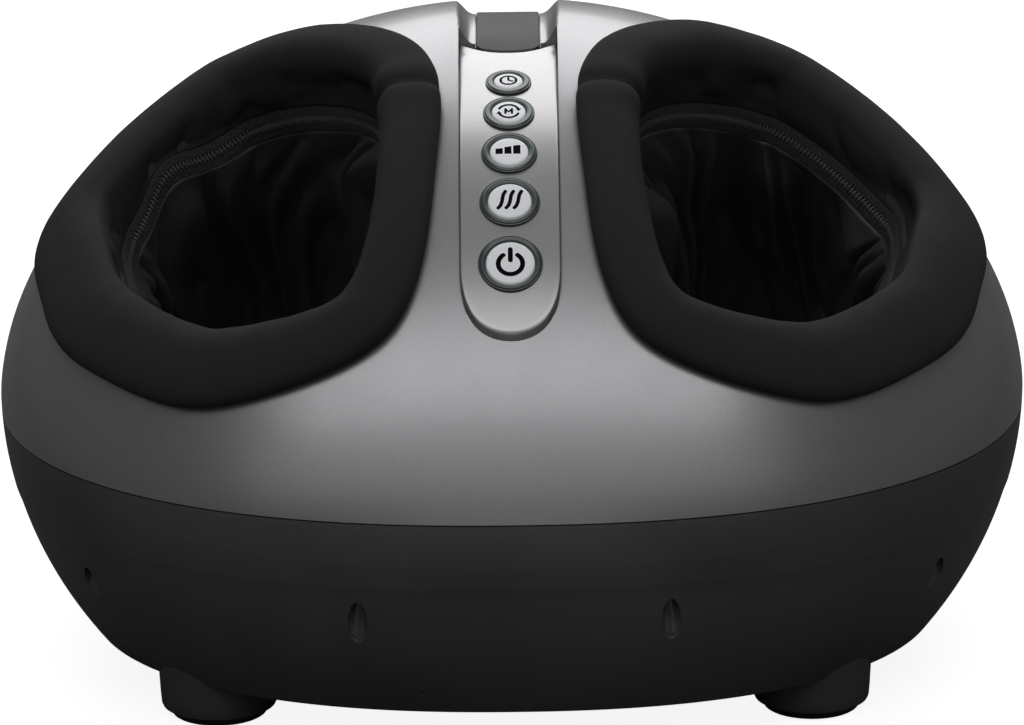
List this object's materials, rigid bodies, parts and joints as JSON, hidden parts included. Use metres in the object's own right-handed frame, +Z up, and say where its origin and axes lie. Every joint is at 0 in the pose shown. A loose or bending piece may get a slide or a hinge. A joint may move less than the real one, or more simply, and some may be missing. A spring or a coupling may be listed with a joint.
{
  "type": "foot massager",
  "caption": "Egg-shaped foot massager with padded foot openings, a strip of buttons up the middle, worm-driven kneading heads inside and rubber feet.",
  "frame": {"origin": "middle of the base, at the underside of the rubber feet", "axes": "+Z up, +X to the user's right, +Y away from the user, towards the toes"},
  "size_m": [0.43, 0.375, 0.2628],
  "materials": {
    "shell_paint": "silver-grey metallic paint, satin gloss",
    "base_plastic": "black moulded plastic, fine satin",
    "panel_paint": "lighter silver metallic paint, satin gloss",
    "handle_plastic": "dark grey plastic, semi-gloss",
    "bezel_metallic": "dark green-grey metallic",
    "button_face": "silver-white, satin, dark printed icons",
    "board_laminate": "green laminate",
    "collar_fabric": "black soft knit over foam padding",
    "zipper_tape": "black woven tape with moulded coil",
    "sleeve_fabric": "black soft lining with folds",
    "deck_plastic": "grey glass-filled plastic",
    "steel": "plain steel",
    "gear_plastic": "natural acetal",
    "nodule_plastic": "beige moulded plastic",
    "airbag_film": "blue welded film",
    "hose_rubber": "translucent grey",
    "brass": "turned brass",
    "belt_rubber": "black rubber",
    "foot_rubber": "black rubber, matte"
  },
  "bodies": {
    "massager_body": {"upper_shell": "shell_paint", "lower_housing": "base_plastic", "control_panel": "panel_paint", "carry_handle": "handle_plastic", "bezel_power": "bezel_metallic", "bezel_heat": "bezel_metallic", "bezel_intensity": "bezel_metallic", "bezel_mode": "bezel_metallic", "bezel_timer": "bezel_metallic", "control_board": "board_laminate", "collar_left": "collar_fabric", "zipper_left": "zipper_tape", "foot_sleeve_left": "sleeve_fabric", "gear_deck_left": "deck_plastic", "airbag_left": "airbag_film", "air_hose_left": "hose_rubber", "collar_right": "collar_fabric", "zipper_right": "zipper_tape", "foot_sleeve_right": "sleeve_fabric", "gear_deck_right": "deck_plastic", "airbag_right": "airbag_film", "air_hose_right": "hose_rubber", "motor": "steel", "drive_belt": "belt_rubber", "air_pump": "base_plastic", "power_inlet": "base_plastic", "rubber_foot_left_front": "foot_rubber", "rubber_foot_left_back": "foot_rubber", "screw_left_front_inner": "steel", "screw_left_front_outer": "steel", "screw_left_back_inner": "steel", "screw_left_back_outer": "steel", "rubber_foot_right_front": "foot_rubber", "rubber_foot_right_back": "foot_rubber", "screw_right_front_inner": "steel", "screw_right_front_outer": "steel", "screw_right_back_inner": "steel", "screw_right_back_outer": "steel"},
    "button_power": {"button_power": "button_face"},
    "button_heat": {"button_heat": "button_face"},
    "button_intensity": {"button_intensity": "button_face"},
    "button_mode": {"button_mode": "button_face"},
    "button_timer": {"button_timer": "button_face"},
    "drive_shaft_left": {"worm_shaft_left": "steel", "driven_pulley_left": "gear_plastic"},
    "drive_shaft_right": {"worm_shaft_right": "steel", "driven_pulley_right": "gear_plastic"},
    "motor_rotor": {"motor_pulley": "brass"},
    "kneader_left_heel": {"kneading_head_left_heel": "nodule_plastic", "worm_wheel_left_heel": "gear_plastic"},
    "kneader_left_arch": {"kneading_head_left_arch": "nodule_plastic", "worm_wheel_left_arch": "gear_plastic"},
    "kneader_left_toe": {"kneading_head_left_toe": "nodule_plastic", "worm_wheel_left_toe": "gear_plastic"},
    "kneader_right_heel": {"kneading_head_right_heel": "nodule_plastic", "worm_wheel_right_heel": "gear_plastic"},
    "kneader_right_arch": {"kneading_head_right_arch": "nodule_plastic", "worm_wheel_right_arch": "gear_plastic"},
    "kneader_right_toe": {"kneading_head_right_toe": "nodule_plastic", "worm_wheel_right_toe": "gear_plastic"}
  },
  "joints": [
    {"name": "press_power", "type": "slide", "parent": "massager_body", "child": "button_power", "axis": [0, 0.6923, -0.7216], "range_m": [0, 0.0012], "stiffness_N_per_m": 600},
    {"name": "press_heat", "type": "slide", "parent": "massager_body", "child": "button_heat", "axis": [0, 0.6017, -0.7988], "range_m": [0, 0.0012], "stiffness_N_per_m": 600},
    {"name": "press_intensity", "type": "slide", "parent": "massager_body", "child": "button_intensity", "axis": [0, 0.5085, -0.8611], "range_m": [0, 0.0012], "stiffness_N_per_m": 600},
    {"name": "press_mode", "type": "slide", "parent": "massager_body", "child": "button_mode", "axis": [0, 0.408, -0.913], "range_m": [0, 0.0012], "stiffness_N_per_m": 600},
    {"name": "press_timer", "type": "slide", "parent": "massager_body", "child": "button_timer", "axis": [0, 0.2979, -0.9546], "range_m": [0, 0.0012], "stiffness_N_per_m": 600},
    {"name": "spin_drive_shaft_left", "type": "hinge", "parent": "massager_body", "child": "drive_shaft_left", "pos_m": [-0.0795, 0, 0.036], "axis": [0, 1, 0], "continuous": true},
    {"name": "spin_drive_shaft_right", "type": "hinge", "parent": "massager_body", "child": "drive_shaft_right", "pos_m": [0.0795, 0, 0.036], "axis": [0, 1, 0], "continuous": true},
    {"name": "spin_motor", "type": "hinge", "parent": "massager_body", "child": "motor_rotor", "pos_m": [0, 0, 0.046], "axis": [0, 1, 0], "continuous": true},
    {"name": "spin_kneader_left_heel", "type": "hinge", "parent": "massager_body", "child": "kneader_left_heel", "pos_m": [-0.108, -0.074, 0], "axis": [0, 0, 1], "continuous": true},
    {"name": "spin_kneader_left_arch", "type": "hinge", "parent": "massager_body", "child": "kneader_left_arch", "pos_m": [-0.108, -0.008, 0], "axis": [0, 0, 1], "continuous": true},
    {"name": "spin_kneader_left_toe", "type": "hinge", "parent": "massager_body", "child": "kneader_left_toe", "pos_m": [-0.108, 0.058, 0], "axis": [0, 0, 1], "continuous": true},
    {"name": "spin_kneader_right_heel", "type": "hinge", "parent": "massager_body", "child": "kneader_right_heel", "pos_m": [0.108, -0.074, 0], "axis": [0, 0, 1], "continuous": true},
    {"name": "spin_kneader_right_arch", "type": "hinge", "parent": "massager_body", "child": "kneader_right_arch", "pos_m": [0.108, -0.008, 0], "axis": [0, 0, 1], "continuous": true},
    {"name": "spin_kneader_right_toe", "type": "hinge", "parent": "massager_body", "child": "kneader_right_toe", "pos_m": [0.108, 0.058, 0], "axis": [0, 0, 1], "continuous": true}
  ],
  "couplings": [
    {"joint": "spin_drive_shaft_right", "follows": "spin_drive_shaft_left", "ratio": 1},
    {"joint": "spin_motor", "follows": "spin_drive_shaft_left", "ratio": 2},
    {"joint": "spin_kneader_left_heel", "follows": "spin_drive_shaft_left", "ratio": -0.083333},
    {"joint": "spin_kneader_left_arch", "follows": "spin_drive_shaft_left", "ratio": -0.083333},
    {"joint": "spin_kneader_left_toe", "follows": "spin_drive_shaft_left", "ratio": -0.083333},
    {"joint": "spin_kneader_right_heel", "follows": "spin_drive_shaft_left", "ratio": 0.083333},
    {"joint": "spin_kneader_right_arch", "follows": "spin_drive_shaft_left", "ratio": 0.083333},
    {"joint": "spin_kneader_right_toe", "follows": "spin_drive_shaft_left", "ratio": 0.083333}
  ]
}
